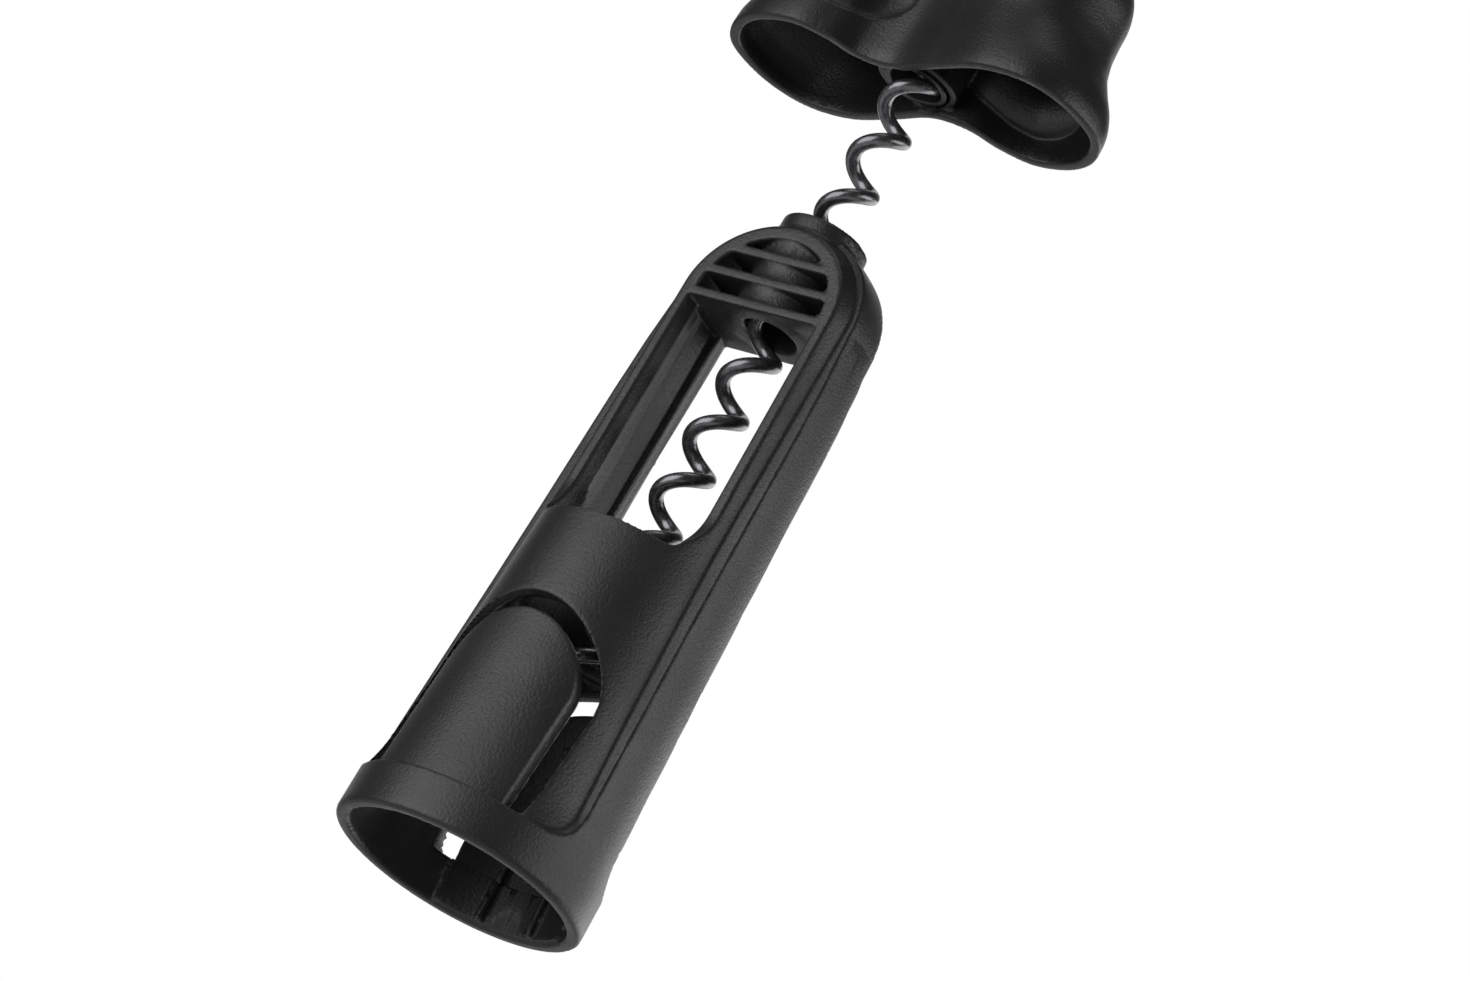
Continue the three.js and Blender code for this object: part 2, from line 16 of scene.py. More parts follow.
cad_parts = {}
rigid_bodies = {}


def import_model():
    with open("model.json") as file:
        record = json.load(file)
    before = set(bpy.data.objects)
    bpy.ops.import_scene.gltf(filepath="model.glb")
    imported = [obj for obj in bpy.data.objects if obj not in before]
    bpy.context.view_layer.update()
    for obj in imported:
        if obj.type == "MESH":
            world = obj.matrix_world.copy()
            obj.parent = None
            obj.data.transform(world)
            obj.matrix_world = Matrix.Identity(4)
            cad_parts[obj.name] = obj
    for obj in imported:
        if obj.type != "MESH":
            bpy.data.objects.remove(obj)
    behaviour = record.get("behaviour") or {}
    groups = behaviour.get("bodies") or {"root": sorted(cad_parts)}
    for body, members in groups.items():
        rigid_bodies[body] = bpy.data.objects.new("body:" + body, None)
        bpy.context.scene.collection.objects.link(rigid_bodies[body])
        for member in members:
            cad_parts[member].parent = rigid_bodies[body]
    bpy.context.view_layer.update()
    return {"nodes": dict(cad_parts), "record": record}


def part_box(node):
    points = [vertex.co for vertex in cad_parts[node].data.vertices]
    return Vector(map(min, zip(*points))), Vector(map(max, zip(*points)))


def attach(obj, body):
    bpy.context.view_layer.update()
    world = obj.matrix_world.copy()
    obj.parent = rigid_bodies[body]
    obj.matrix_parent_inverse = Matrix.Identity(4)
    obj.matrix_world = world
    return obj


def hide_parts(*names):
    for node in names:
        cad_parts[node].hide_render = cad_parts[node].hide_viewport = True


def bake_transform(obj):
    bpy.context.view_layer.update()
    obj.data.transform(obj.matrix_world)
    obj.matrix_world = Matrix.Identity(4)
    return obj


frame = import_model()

MM = 0.001
scene = bpy.context.scene
print("packed nodes:", ", ".join(sorted(frame["nodes"])))

# %% [markdown]
# ## Sizes
#
# All shapes below are written in millimetres. The few sizes that several pieces share
# are named here once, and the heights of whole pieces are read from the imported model,
# so that nothing can drift away from it.

# %% shared sizes
def node_box(node):
    """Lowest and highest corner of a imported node, in millimetres."""
    low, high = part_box(node)
    return np.array(low) / MM, np.array(high) / MM


frame_high = node_box("frame")[1]
handle_low, handle_high = node_box("handle_shell")
BELL_R = frame_high[0]
FRAME_TOP = frame_high[2]
HANDLE_Z = handle_low[2]
HANDLE_HEIGHT = handle_high[2] - HANDLE_Z
print(f"bell radius {BELL_R:.2f}, frame top {FRAME_TOP:.2f}, handle rim {HANDLE_Z:.2f} mm")

# %% [markdown]
# ## Moulded shapes from distance fields
#
# An injection moulding has no sharp edge anywhere: each outer edge is slightly rounded
# and each inner corner is filled. Bevelling such edges after a boolean cut often fails
# where curved walls meet. So the mouldings are written as *distance fields*: a function
# that is negative inside the plastic, zero on its skin and positive outside. Joining
# two shapes is then the smaller of two numbers, cutting is the larger, and a rounded
# edge is a soft version of either. The mesh is the skin where the field is zero.

# %% soft joins and cuts
def soft_min(a, b, radius):
    """Joins two shapes, with the inner corner between them filled."""
    near = np.maximum(radius - np.abs(a - b), 0.0) / radius
    return np.minimum(a, b) - near * near * radius * 0.25


def soft_max(a, b, radius):
    """Keeps what two shapes share, with the edge between them rounded."""
    return -soft_min(-a, -b, radius)


def slab(value, low, high):
    """Distance outside the space between two parallel planes."""
    return np.maximum(low - value, value - high)


print(f"a join of radius 0.8 lifts two equal skins by {-soft_min(0.0, 0.0, 0.8):.2f} mm")

# %% [markdown]
# A turned skin is a radius for every height. It could be drawn as a curve object, but a
# field needs a number at any height. So a few stations are joined by straight runs, and
# the runs are averaged over some millimetres, because a kink that is too slight to see
# in the outline still shows as a line in the sheen.

# %% smooth lines by height
LINE_STEP = 0.1


def smooth_line(stations, blur=5.0):
    """A radius by height through [radius, height] stations, without kinks."""
    radii, heights = np.array(stations, float).T
    fine = np.arange(heights[0], heights[-1] + LINE_STEP / 2, LINE_STEP)
    line = np.interp(fine, heights, radii)
    half = int(blur / LINE_STEP / 2)
    kernel = np.hanning(2 * half + 1)
    kernel /= kernel.sum()
    slope_low = line[1] - line[0]
    slope_high = line[-1] - line[-2]
    steps = np.arange(half, 0, -1)
    padded = np.concatenate([
        line[0] - slope_low * steps, line, line[-1] + slope_high * steps[::-1]])
    smooth = np.convolve(padded, kernel, mode="valid")
    return lambda z: np.interp(z, fine, smooth)


kinked = smooth_line([[0, 0], [0, 10], [5, 20]])
print(f"a kink from level to 1 in 2 is eased by {kinked(10.0):.2f} mm")

# %% [markdown]
# ## From field to mesh
#
# Voxel remeshing can turn a volume into a mesh too, but it blurs thin walls, so it is
# done here in three steps. First the field is read on a regular grid, layer by layer.
# Where a piece is alike on both sides of a plane, one side is copied from the other.
# Each step is tried on a small ball.

# %% read a field on a grid
def field_values(field, axes, mirror_x, mirror_y):
    """The field on a grid; a mirrored side is copied instead of worked out again."""
    xs, ys, zs = axes
    part_x = xs[xs >= -1e-9] if mirror_x else xs
    part_y = ys[ys >= -1e-9] if mirror_y else ys
    values = np.empty((len(part_x), len(part_y), len(zs)), np.float32)
    x, y = np.meshgrid(part_x, part_y, indexing="ij")
    for k, z in enumerate(zs):
        values[:, :, k] = field(x, y, np.full_like(x, z))
    if mirror_x:
        values = np.concatenate([values[:0:-1], values])
    if mirror_y:
        values = np.concatenate([values[:, :0:-1], values], axis=1)
    return values


def ball(x, y, z):
    """A ball of 1.5 mm radius."""
    return np.sqrt(x * x + y * y + z * z) - 1.5


ball_values = field_values(ball, [np.arange(-2.0, 3.0)] * 3, True, True)
print("grid points inside the ball:", int((ball_values < 0).sum()))

# %% [markdown]
# Second, each grid cell that the skin crosses gets one point, at the mean of the places
# where it crosses the cell's edges. Every crossed edge joins the four cells round it
# into a quad, so the mesh is closed by itself.

# %% one point in each crossed cell
def skin_points(values, low, cell):
    """One point per crossed cell, and the quads between them."""
    inside = values < 0
    shape = np.array(values.shape) - 1
    total = np.zeros(tuple(shape) + (3,), np.float32)
    count = np.zeros(tuple(shape), np.float32)
    quads = []
    for axis in range(3):
        here = [slice(None)] * 3
        there = [slice(None)] * 3
        here[axis] = slice(0, -1)
        there[axis] = slice(1, None)
        start, end = values[tuple(here)], values[tuple(there)]
        crossed = np.argwhere(inside[tuple(here)] != inside[tuple(there)])
        others = [a for a in range(3) if a != axis]
        valid = np.ones(len(crossed), bool)
        for other in others:
            valid &= (crossed[:, other] > 0) & (crossed[:, other] < shape[other])
        crossed = crossed[valid]
        a, b = start[tuple(crossed.T)], end[tuple(crossed.T)]
        point = crossed.astype(np.float32)
        point[:, axis] += a / (a - b)
        ring = []
        for du, dv in ((-1, -1), (0, -1), (0, 0), (-1, 0)):
            cell_index = crossed.copy()
            cell_index[:, others[0]] += du
            cell_index[:, others[1]] += dv
            np.add.at(total, tuple(cell_index.T), point)
            np.add.at(count, tuple(cell_index.T), 1)
            ring.append(np.ravel_multi_index(tuple(cell_index.T), tuple(shape)))
        ring = np.stack(ring, 1)
        flip = (a < 0) == (axis == 1)
        ring[flip] = ring[flip][:, ::-1]
        quads.append(ring)
    quads = np.concatenate(quads)
    used, quads = np.unique(quads, return_inverse=True)
    quads = quads.reshape(-1, 4)
    points = total.reshape(-1, 3)[used] / count.reshape(-1)[used][:, None]
    return points * cell + low, quads


ball_points, ball_quads = skin_points(ball_values, np.full(3, -2.0), 1.0)
print("the ball's skin:", len(ball_points), "points and", len(ball_quads), "quads")

# %% [markdown]
# Third, two Newton steps move every point exactly on to the skin: a step goes down the
# field's slope by the distance that the field still shows there.

# %% settle the points on the skin
SLOPE_STEP = 0.02


def on_skin(field, points, steps=2, reach=0.4):
    """Newton steps that put points on the skin, none longer than the reach."""
    delta = SLOPE_STEP
    for _ in range(steps):
        x, y, z = points.T
        value = field(x, y, z)
        gradient = np.stack([
            field(x + delta, y, z) - field(x - delta, y, z),
            field(x, y + delta, z) - field(x, y - delta, z),
            field(x, y, z + delta) - field(x, y, z - delta)], 1) / (2 * delta)
        length2 = np.maximum((gradient ** 2).sum(1), 0.04)
        move = -gradient * (value / length2)[:, None]
        size = np.linalg.norm(move, axis=1, keepdims=True)
        points = points + move * np.minimum(1.0, reach / np.maximum(size, 1e-9))
    return points


ball_off = np.abs(ball(*on_skin(ball, ball_points).T)).max()
print(f"furthest that a point is off the ball's skin: {ball_off:.4f} mm")

# %% [markdown]
# The three steps together make a moulding. Flat places need fewer faces than rounded
# edges, so a decimate modifier then thins the mesh where it is flattest.

# %% make a moulding
def mesh_object(name, points, faces):
    """A smooth-shaded object from points in millimetres."""
    mesh = bpy.data.meshes.new(name)
    corners = [[int(corner) for corner in face] for face in faces]
    mesh.from_pydata((np.asarray(points) * MM).tolist(), [], corners)
    mesh.validate()
    mesh.polygons.foreach_set("use_smooth", [True] * len(mesh.polygons))
    made = bpy.data.objects.new(name, mesh)
    scene.collection.objects.link(made)
    return made


def moulded(name, field, low, high, cell, mirror_x=True, mirror_y=True, keep=0.4):
    """A moulding from its field, thinned to a share of its faces."""
    axes = []
    for a, b, mirrored in zip(low, high, (mirror_x, mirror_y, False)):
        steps = math.ceil((b - a) / cell)
        axis = np.arange(-steps // 2, steps // 2 + 1) * cell if mirrored \
            else a + np.arange(steps + 1) * cell
        axes.append(axis)
    values = field_values(field, axes, mirror_x, mirror_y)
    start = np.array([axis[0] for axis in axes])
    points, quads = skin_points(values, start, cell)
    points = on_skin(field, points.astype(float))
    made = mesh_object(name, points, quads)
    thin = made.modifiers.new("thin", "DECIMATE")
    thin.ratio = keep
    bpy.context.view_layer.objects.active = made
    bpy.ops.object.modifier_apply(modifier=thin.name)
    print(f"{name}: {len(quads)} quads on the grid, {len(made.data.polygons)} faces kept")
    return made


# %% [markdown]
# ## The frame
#
# The frame is one moulding. It could be modelled as a cylinder with faces pushed and
# pulled, but its straps and panels have different curves that must meet cleanly. So two
# smooth skins are turned about the axis: an outer one for the bell band and the two side
# straps, and an inner one for the front and back panels. A strap is as wide as its side
# view says and hooks outwards at its foot.

# %% the turned skins
BAND_TOP = 7.5
SHAFT_TOP = 103.0
STRAP_TOP_R = 17.0
PANEL_TOP_R = 16.0

strap_radius = smooth_line([
    [20.92, 0], [20.88, 7.5], [20.75, 14], [20.2, 27], [19.5, 43], [18.9, 60],
    [18.2, 84], [17.8, 93], [17.0, 103]])
panel_radius = smooth_line([
    [19.95, 0], [19.62, 9.1], [18.3, 27], [17.4, 43], [16.6, 59], [16.35, 70],
    [16.0, 103]])


def domed(rho, z, radius_at, top_radius):
    """A turned skin that closes in a dome above the shaft."""
    over = np.hypot(rho, z - SHAFT_TOP) - top_radius
    return np.where(z > SHAFT_TOP, over, rho - radius_at(z))


print("strap radius at 0, 60 and 100 mm:", np.round(strap_radius([0, 60, 100]), 2))
print("panel radius at 0, 60 and 100 mm:", np.round(panel_radius([0, 60, 100]), 2))

# %% [markdown]
# The straps stand proud of the panels by one to two millimetres and run level over the
# crown. From the foot of the window upwards the panels are cut flat, front and back, and
# a scooped step leads in to the flats. Meshes joined edge to edge would show a seam at
# each of these changes; joined fields flow into one another.

# %% straps and panels
HOOK_TOP = 14.0
HOOK_OUT = 7.6
STRAP_FOOT_HALF, STRAP_TOP_HALF = 6.1, 4.55
CROWN_RISE = 16.35
CROWN_EDGE = 0.7
FOOT_FLARE = 0.85
FLAT_Y, FLAT_BOTTOM = 7.85, 57.2
FLAT_RUNOUT, FLAT_STEP = 9.0, 4.3
NO_FLAT = 40.0


def strap_half(z):
    """Half the width of a strap by height, with the hook at its foot."""
    plain = STRAP_FOOT_HALF + (z - HOOK_TOP) * (STRAP_TOP_HALF - STRAP_FOOT_HALF) \
        / (SHAFT_TOP - HOOK_TOP)
    along = np.sqrt(np.clip((z - BAND_TOP) / (HOOK_TOP - BAND_TOP), 0, 1))
    hook = STRAP_FOOT_HALF + HOOK_OUT * (1 - along) ** 2
    return np.where(z < HOOK_TOP, hook, plain)


def shaft_outside(x, y, z):
    """The frame's outside: two straps joined to the panels between them."""
    rho = np.hypot(x, y)
    ax, ay = np.abs(x), np.abs(y)
    strap = domed(rho, z, strap_radius, STRAP_TOP_R)
    level = np.hypot(ax, (z - SHAFT_TOP) * STRAP_TOP_R / CROWN_RISE) - STRAP_TOP_R
    strap = np.where(z > SHAFT_TOP, soft_max(strap, level, CROWN_EDGE), strap)
    steep = np.where(z < HOOK_TOP, 1.6, 1.0)
    side = soft_min((ay - strap_half(z)) / steep, z - BAND_TOP, 0.8)
    strap = soft_max(strap, side, 0.4)
    flare = FOOT_FLARE * np.clip((HOOK_TOP - z) / (HOOK_TOP - BAND_TOP), 0, 1) ** 2
    panel = domed(rho - flare, z, panel_radius, PANEL_TOP_R)
    bend = np.clip((z - FLAT_BOTTOM) / FLAT_RUNOUT, 0, 1)
    flat_y = FLAT_Y + FLAT_STEP * (1 - bend) ** 2.2
    flat = np.where(z > FLAT_BOTTOM, ay - flat_y, ay - NO_FLAT)
    panel = soft_max(panel, flat, 0.5)
    return soft_min(strap, panel, 0.7)


print("strap half width at 8, 14 and 100 mm:",
      np.round(strap_half(np.array([8, 14, 100.0])), 2))

# %% [markdown]
# The inside is cut out next: the mouth that slips over the bottle, a moulded ring that
# stops the bottle's lip, the shaft above it, and a channel up the inside of each leg.
# Cutting with a field keeps every one of these edges rounded in the same way.

# %% the hollow inside
WINDOW_BOTTOM, WINDOW_TOP = 57.3, 101.3
SHOULDER_Z, SHOULDER_TALL, SHOULDER_HOLE_R = 42.4, 2, 12.7
CHANNEL_HALF, CHANNEL_R, CHANNEL_BOTTOM = 4.2, 13.4, 61.5
mouth_radius = smooth_line([
    [18.75, 0], [18.65, 2], [17.62, 9.1], [16.3, 27], [15.4, 43], [14.4, 59],
    [13.9, 70], [13.6, 90]], 3.0)


def leg_channel(x, y, z):
    """The shallow channel up the inside of a leg, with a rounded foot."""
    side = soft_max(np.abs(y) - CHANNEL_HALF, CHANNEL_BOTTOM - z, 6.0)
    return np.maximum(soft_max(side, np.hypot(x, y) - CHANNEL_R, 0.4), z - WINDOW_TOP)


def hollow(x, y, z):
    """The space inside the frame, with the ring that stops the bottle's lip."""
    rho = np.hypot(x, y)
    shaft = np.maximum(rho - mouth_radius(z), z - (WINDOW_BOTTOM + 1))
    shoulder = np.maximum(
        SHOULDER_HOLE_R - rho, slab(z, SHOULDER_Z, SHOULDER_Z + SHOULDER_TALL))
    shaft = soft_max(shaft, -shoulder, 0.4)
    return soft_min(shaft, leg_channel(x, y, z), 0.3)


print(f"wall at the mouth: {strap_radius(0) - mouth_radius(0):.2f} mm")

# %% [markdown]
# Then come the openings that make the piece what it is: the window through both panels,
# and the level slots that leave the thin ribs of the head. The collar stands in the
# middle of the head and runs down through all the slots.

# %% window and head
RIB = 1.6
SLOT = 2.87
HEAD_POCKET_R = 11.6
COLLAR_R, COLLAR_BORE_R = 7.4, 4.6
DRAFT, DRAFT_DEEP = 0.045, 3.65


def window_cut(x, y, z):
    """The window through both panels; its sides open a little towards the outside."""
    draft = DRAFT * np.clip(FLAT_Y - np.abs(y), 0, DRAFT_DEEP) ** 2
    half = np.interp(z, [WINDOW_BOTTOM, WINDOW_TOP], [12.6, 12.15]) - draft
    foot = soft_max(np.abs(x) - half, WINDOW_BOTTOM - z, 1.8)
    return soft_max(foot, z - WINDOW_TOP, 0.5)


def head_slots(x, z, rho):
    """The slots of the head: a round-topped pocket, less two ribs and the collar."""
    pocket = np.where(z > SHAFT_TOP, np.hypot(x, z - SHAFT_TOP), np.abs(x)) - HEAD_POCKET_R
    lowest = WINDOW_TOP + RIB
    cut = np.maximum(pocket, lowest - z)
    for number in (1, 2):
        low = lowest + number * (SLOT + RIB) - RIB
        cut = soft_max(cut, -slab(z, low, low + RIB), 0.35)
    return soft_max(cut, COLLAR_R - rho, 0.4)


print(f"window {WINDOW_TOP - WINDOW_BOTTOM:.1f} mm tall, ribs {RIB} mm, slots {SLOT} mm")

# %% [markdown]
# Round each tongue an arched slot is left open. Behind the tongue's root the bell band
# carries a pad and two upright ribs, which run on up the tongue's own back and rub on
# the neck of the bottle.

# %% tongue slots and band pads
TONGUE_HALF, TONGUE_ARCH_Z = 11.95, 26.6
SLOT_GAP, SLOT_RISE = 2.7, 0.3
PAD_R, PAD_LEAN, PAD_ROOT_R = 18.05, 0.08, 19.3
RIB_ANGLE, RIB_HALF = 16, 0.5
BAND_FOOT = 0.6


def arch(x, z, half, arch_z):
    """Distance outside a door with a round top; it has no foot."""
    ax = np.abs(x)
    return np.where(z > arch_z, np.hypot(ax, z - arch_z), ax) - half


def tongue_slot(x, y, z):
    """The arched opening in each panel, cut from the band upwards."""
    door = arch(x, z, TONGUE_HALF + SLOT_GAP, TONGUE_ARCH_Z + SLOT_RISE)
    return np.maximum(np.maximum(door, BAND_TOP - z), 5 - np.abs(y))


def upright_ribs(x, y, z):
    """Two ribs that stand behind a tongue and reach further in as they rise."""
    ay = np.abs(y)
    reach_in = 17.15 - 0.1 * z
    best = None
    for side in (-1, 1):
        angle = math.radians(RIB_ANGLE) * side
        across = x * math.cos(angle) - ay * math.sin(angle)
        depth = x * math.sin(angle) + ay * math.cos(angle)
        rib = np.maximum(np.abs(across) - RIB_HALF, reach_in - depth)
        best = rib if best is None else np.minimum(best, rib)
    return best


def band_pads(x, y, z):
    """The pad and the ribs inside the bell band, front and back."""
    rho = np.hypot(x, y)
    inner = PAD_R - PAD_LEAN * z
    band = slab(z, BAND_FOOT, BAND_TOP)
    pad = np.maximum(np.maximum(inner - rho, rho - PAD_ROOT_R), band)
    pad = soft_max(pad, np.abs(x) - TONGUE_HALF, 0.3)
    ribs = np.maximum(upright_ribs(x, y, z), band)
    ribs = np.maximum(ribs, rho - PAD_ROOT_R)
    return soft_min(pad, ribs, 0.3)


print(f"tongue slots are {2 * (TONGUE_HALF + SLOT_GAP):.1f} mm wide")

# %% [markdown]
# Last, the parts are joined and cut one after another, and the skin is meshed on a grid
# of 0.4 mm, which is fine enough for the upright ribs of 1 mm.

# %% mesh the frame
def frame_field(x, y, z):
    """The whole frame; each last number is the radius of that edge in millimetres."""
    rho = np.hypot(x, y)
    body = shaft_outside(x, y, z)
    body = soft_max(body, -z, 0.9)
    body = soft_max(body, -hollow(x, y, z), 0.4)
    body = soft_max(body, -window_cut(x, y, z), 0.4)
    body = soft_max(body, -head_slots(x, z, rho), 0.4)
    collar = soft_max(rho - COLLAR_R, slab(z, WINDOW_TOP, FRAME_TOP), 0.5)
    body = soft_min(body, collar, 0.4)
    body = soft_max(body, COLLAR_BORE_R - rho, 0.5)
    body = soft_max(body, -tongue_slot(x, y, z), 0.5)
    return soft_min(body, band_pads(x, y, z), 0.3)


reach = BELL_R + 1.2
shaft = moulded("frame_moulding", frame_field, [-reach, -reach, -1.0],
                [reach, reach, FRAME_TOP + 1.0], 0.4)
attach(shaft, "frame")
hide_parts("frame")
print("frame box:", np.round(np.array(shaft.dimensions) / MM, 2))

# %% [markdown]
# ## The grip tongues
#
# Front and back, an arched slot frees a tongue of the same moulding, and squeezing both
# tongues holds the corkscrew on the bottle. It could be left as part of the frame, but
# here it is a piece of its own. A tongue has the panel's own skins outside and inside,
# rounded edges, and two ribs down its back. Its root runs on a little way into the bell
# band, where it is cut off level.

# %% grip tongues
TONGUE_ROOT_Z = BAND_TOP - 0.4
TONGUE_RIB_TOP = 31


def tongue_field(x, y, z):
    """The front tongue."""
    rho = np.hypot(x, y)
    plate = np.maximum(rho - panel_radius(z), mouth_radius(z) - rho)
    outline = np.maximum(arch(x, z, TONGUE_HALF, TONGUE_ARCH_Z), y + 5)
    plate = soft_max(plate, outline, 0.45)
    ribs = np.maximum(upright_ribs(x, y, z), rho - mouth_radius(z) - 0.5)
    ribs = soft_max(ribs, z - TONGUE_RIB_TOP, 0.6)
    return np.maximum(soft_min(plate, ribs, 0.4), TONGUE_ROOT_Z - z)


for side, turn in (("front", 0.0), ("back", math.pi)):
    tongue = moulded(f"{side}_tongue_moulding", tongue_field, [-12.6, -20.6, 6.5],
                     [12.6, -9.0, 39.5], 0.3, mirror_y=False)
    tongue.data.transform(Matrix.Rotation(turn, 4, "Z"))
    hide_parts(f"{side}_grip_tongue")
    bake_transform(tongue)

# %% [markdown]
# ## The handle
#
# The handle is a hollow two-lobed shell, open below. Seen from above its outline is an
# S-like closed curve, the same again after half a turn. It could be lofted through
# drawn sections, but then its wall would not stay even where the dishes sink in. So the
# outline is drawn once, as a smooth curve through a few points.

# %% the handle's outline
LOBE_R = 34.8
HALF_OUTLINE = LOBE_R * np.array([
    [1, 0.043], [0.902, 0.247], [0.724, 0.376], [0.506, 0.414], [0.336, 0.342],
    [0.21, 0.236], [0.034, 0.204], [-0.23, 0.302], [-0.523, 0.394], [-0.77, 0.365],
    [-0.937, 0.207]])


def closed_curve(points, steps=14):
    """Points along a smooth closed curve through the given ones."""
    span = np.linalg.norm(np.roll(points, -1, 0) - points, axis=1)[:, None] ** 0.5
    slope = (np.roll(points, -1, 0) - np.roll(points, 1, 0)) / (span + np.roll(span, 1, 0))
    share = (np.arange(steps) / steps)[:, None, None]
    ends = np.roll(points, -1, 0)
    curve = ((2 * share ** 3 - 3 * share ** 2 + 1) * points
             + (share ** 3 - 2 * share ** 2 + share) * span * slope
             + (3 * share ** 2 - 2 * share ** 3) * ends
             + (share ** 3 - share ** 2) * span * np.roll(slope, -1, 0))
    return curve.transpose(1, 0, 2).reshape(-1, 2)


plan_curve = closed_curve(np.concatenate([HALF_OUTLINE, -HALF_OUTLINE]))
print("handle outline:", np.round(np.ptp(plan_curve, axis=0), 1), "mm")

# %% [markdown]
# Every level of the handle is this outline drawn in a little, so the field has to know
# the distance to it from anywhere. Working that out at each grid point would be slow.
# So a table of distances is made once, and read smoothly between its entries.

# %% distance to the outline
PLAN_CELL = 0.5
plan_start = np.array([-40.0, -20.0])


def distance_to_curve(curve, x, y):
    """Signed distance to a closed curve, negative inside."""
    point = np.stack([x, y], -1)[..., None, :]
    start, end = curve, np.roll(curve, -1, 0)
    run = end - start
    share = ((point - start) * run).sum(-1) / (run ** 2).sum(-1)
    near = start + np.clip(share, 0, 1)[..., None] * run
    distance = np.linalg.norm(point - near, axis=-1).min(-1)
    rises = (start[:, 1] <= point[..., 1]) != (end[:, 1] <= point[..., 1])
    cross = start[:, 0] + (point[..., 1] - start[:, 1]) * run[:, 0] / (run[:, 1] + 1e-12)
    inside = (rises & (cross > point[..., 0])).sum(-1) % 2 == 1
    return np.where(inside, -distance, distance)


plan_axes = [np.arange(161) * PLAN_CELL + plan_start[0],
             np.arange(81) * PLAN_CELL + plan_start[1]]
plan_table = distance_to_curve(plan_curve, *np.meshgrid(*plan_axes, indexing="ij"))


def plan_distance(x, y):
    """A smooth reading of the table of distances."""
    shape = plan_table.shape
    u = (x - plan_start[0]) / PLAN_CELL
    v = (y - plan_start[1]) / PLAN_CELL
    i = np.clip(np.floor(u).astype(int), 1, shape[0] - 3)
    j = np.clip(np.floor(v).astype(int), 1, shape[1] - 3)

    def weights(t):
        return (-0.5 * t ** 3 + t ** 2 - 0.5 * t, 1.5 * t ** 3 - 2.5 * t ** 2 + 1,
                -1.5 * t ** 3 + 2 * t ** 2 + 0.5 * t, 0.5 * t ** 3 - 0.5 * t ** 2)

    total = 0.0
    for a, across in enumerate(weights(np.clip(u - i, -1, 2))):
        for b, along in enumerate(weights(np.clip(v - j, -1, 2))):
            total = total + across * along * plan_table[i + a - 1, j + b - 1]
    return total


print(f"half the handle's waist: {-plan_distance(np.zeros(1), np.zeros(1))[0]:.2f} mm")

# %% [markdown]
# Going up from the rim the lobes draw in by a fifth, quickly at first, so the rim flares
# like a skirt. A thumb dish is sunk into each lobe, on opposite sides, and the roof
# droops a little towards its edge, as moulded roofs do.

# %% the handle's skin
WAIST_R = 7.0
NECK_SHRINK = 0.19
WAIST_EASE = 9.0
FARTHEST = 42.0
DISH_X, DISH_H = 15, 13.1
DISH_HALF_WIDE, DISH_HALF_TALL, DISH_DEEP = 12.1, 7.75, 3.2
ROOF_EDGE, ROOF_DROOP = 5.0, 2.6
neck_share = smooth_line([
    [0, 0], [0.02, 3], [0.2, 6], [0.5, 9], [0.8, 12.5], [0.96, 16.5], [1, 20],
    [1, 29]], 4.0)


def dish_depth(x, y, h, spread, sharpness):
    """Depth of the thumb dishes: one in the front of the left lobe, one opposite."""
    away = np.hypot((np.abs(x) - DISH_X) / DISH_HALF_WIDE,
                    (h - DISH_H) / DISH_HALF_TALL) / spread
    lobe = np.clip(np.sign(x * y), 0, 1)
    bed = 1 - np.minimum(away, 1.2) ** sharpness
    return DISH_DEEP * lobe * 0.5 * (bed + np.sqrt(bed * bed + 0.003))


def handle_skin(x, y, h, spread=1.0, sharpness=8):
    """The closed skin of the handle; a level is the outline, drawn in by a factor."""
    reach_here = np.hypot(x, y)
    shrink = NECK_SHRINK * neck_share(h) / (LOBE_R - WAIST_R)
    rim_reach = reach_here
    for _ in range(6):
        factor = 1 - shrink * soft_max(
            np.minimum(rim_reach, FARTHEST) - WAIST_R, 0.0, WAIST_EASE)
        rim_reach = reach_here / factor
    side = plan_distance(x / factor, y / factor) * factor
    lean = NECK_SHRINK * (neck_share(h + 0.5) - neck_share(h - 0.5)) \
        * np.clip(rim_reach - WAIST_R, 0, 28)
    side = side / np.sqrt(1 + lean ** 2)
    droop = 0.05 + ROOF_DROOP \
        * np.clip(1 + soft_max(side, -ROOF_EDGE, 2.0) / 7, 0, 1.2) ** 2.2
    side = side + dish_depth(x / factor, y / factor, h, spread, sharpness)
    return soft_max(side, h - HANDLE_HEIGHT + droop, ROOF_EDGE)


print(f"a dish is {dish_depth(-DISH_X, -DISH_X, DISH_H, 1.0, 8):.2f} mm deep")

# %% [markdown]
# The wall is the space between this skin and a second one further in. The second has
# wider and softer dishes, because a mould's core is rounder than its cavity, and they
# show inside as bulges. The hub stands in the middle: a round boss that runs down from
# the roof between the two waists, with a bore for the slip ring and the worm's shank.

# %% the handle as a field
HANDLE_WALL = 1.8
BULGE_SPREAD, BULGE_SHARPNESS = 1.16, 3
BOSS_R, BOSS_BORE_R, BOSS_BORE_TOP, BOSS_BOTTOM = 7.0, 5.83, 25.0, 1.6


def inner_skin(x, y, h):
    """The skin behind which the handle is hollow."""
    return handle_skin(x, y, h, BULGE_SPREAD, BULGE_SHARPNESS)


